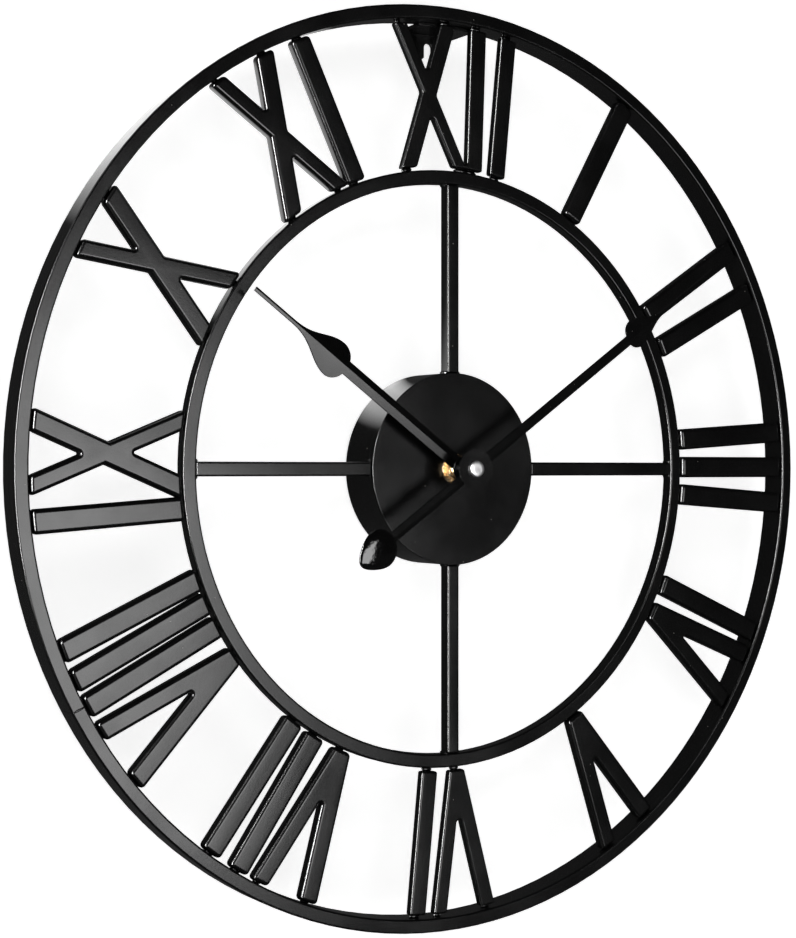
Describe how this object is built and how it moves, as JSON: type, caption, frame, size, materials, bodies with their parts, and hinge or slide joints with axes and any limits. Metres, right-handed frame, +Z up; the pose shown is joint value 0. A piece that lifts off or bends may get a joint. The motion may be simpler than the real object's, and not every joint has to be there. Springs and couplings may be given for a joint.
{
  "type": "wall clock",
  "caption": "Round openwork black metal wall clock: Roman numerals between two rings, hub drum, spade hands, battery movement.",
  "frame": {"origin": "point on the wall plane (the drum's back rim and the hanger's back) straight behind the arbor of the hands", "axes": "+X right, +Z up, the dial faces -Y; +Y points into the wall"},
  "size_m": [0.3999, 0.0405, 0.4],
  "materials": {
    "frame_paint": "satin black powder coat",
    "hand_paint": "semi-gloss black paint on thin sheet",
    "weight_gloss": "high-gloss black enamel",
    "brass": "turned brass",
    "nickel": "bright nickel plate",
    "rubber": "matte black rubber",
    "case_plastic": "moulded black plastic",
    "wheel_plastic": "ivory moulded plastic",
    "steel": "drawn steel",
    "iron": "bare stamped iron sheet",
    "copper": "lacquered copper wire",
    "board": "green circuit board",
    "cell": "printed sleeve with no words"
  },
  "bodies": {
    "frame": {"outer_ring": "frame_paint", "inner_ring": "frame_paint", "spoke_12": "frame_paint", "spoke_3": "frame_paint", "spoke_6": "frame_paint", "spoke_9": "frame_paint", "numeral_1": "frame_paint", "numeral_2": "frame_paint", "numeral_3": "frame_paint", "numeral_4": "frame_paint", "numeral_5": "frame_paint", "numeral_6": "frame_paint", "numeral_7": "frame_paint", "numeral_8": "frame_paint", "numeral_9": "frame_paint", "numeral_10": "frame_paint", "numeral_11": "frame_paint", "numeral_12": "frame_paint", "hub_drum": "frame_paint", "hanger_plate": "frame_paint", "hex_nut": "brass", "brass_washer": "brass", "rubber_washer": "rubber", "threaded_bush": "brass", "movement_front": "case_plastic", "movement_back": "case_plastic", "train_pins": "steel", "stator": "iron", "coil": "copper", "circuit_board": "board", "battery_spring_contact": "nickel", "battery_flat_contact": "nickel"},
    "minute_set": {"minute_hand": "hand_paint", "minute_counterweight": "weight_gloss", "minute_arbor": "steel", "minute_nut": "nickel"},
    "hour_set": {"hour_hand": "hand_paint", "hour_pipe": "wheel_plastic"},
    "motion_set": {"motion_wheel": "wheel_plastic", "setting_knob": "wheel_plastic"},
    "minute_wheel": {"minute_wheel": "wheel_plastic"},
    "third_wheel": {"third_wheel": "wheel_plastic"},
    "seconds_wheel": {"seconds_wheel": "wheel_plastic"},
    "intermediate_wheel": {"intermediate_wheel": "wheel_plastic"},
    "rotor": {"rotor": "iron"},
    "battery": {"battery": "cell"}
  },
  "joints": [
    {"name": "minute_turn", "type": "hinge", "parent": "frame", "child": "minute_set", "pos_m": [0, -0.024, 0], "axis": [0, 1, 0], "continuous": true},
    {"name": "hour_turn", "type": "hinge", "parent": "frame", "child": "hour_set", "pos_m": [0, -0.024, 0], "axis": [0, 1, 0], "continuous": true},
    {"name": "motion_turn", "type": "hinge", "parent": "frame", "child": "motion_set", "pos_m": [-0.01, -0.012, 0], "axis": [0, 1, 0], "continuous": true},
    {"name": "rotor_spin", "type": "hinge", "parent": "frame", "child": "rotor", "pos_m": [0.00199, -0.009, 0.01606], "axis": [0, 1, 0], "continuous": true},
    {"name": "intermediate_spin", "type": "hinge", "parent": "frame", "child": "intermediate_wheel", "pos_m": [0.00799, -0.009, 0.01606], "axis": [0, 1, 0], "continuous": true},
    {"name": "seconds_spin", "type": "hinge", "parent": "frame", "child": "seconds_wheel", "pos_m": [0.01249, -0.01, 0.0107], "axis": [0, 1, 0], "continuous": true},
    {"name": "third_spin", "type": "hinge", "parent": "frame", "child": "third_wheel", "pos_m": [0.00799, -0.011, 0.00291], "axis": [0, 1, 0], "continuous": true},
    {"name": "minute_wheel_spin", "type": "hinge", "parent": "frame", "child": "minute_wheel", "pos_m": [0, -0.012, 0], "axis": [0, 1, 0], "continuous": true},
    {"name": "battery_slide", "type": "slide", "parent": "frame", "child": "battery", "axis": [0, 1, 0], "range_m": [0, 0.02]}
  ],
  "couplings": [
    {"joint": "hour_turn", "follows": "minute_turn", "ratio": 0.083333},
    {"joint": "motion_turn", "follows": "minute_turn", "ratio": -0.33333},
    {"joint": "intermediate_spin", "follows": "rotor_spin", "ratio": -0.2},
    {"joint": "seconds_spin", "follows": "rotor_spin", "ratio": 0.033333},
    {"joint": "third_spin", "follows": "rotor_spin", "ratio": -0.0041667},
    {"joint": "minute_wheel_spin", "follows": "rotor_spin", "ratio": 0.00055556}
  ]
}
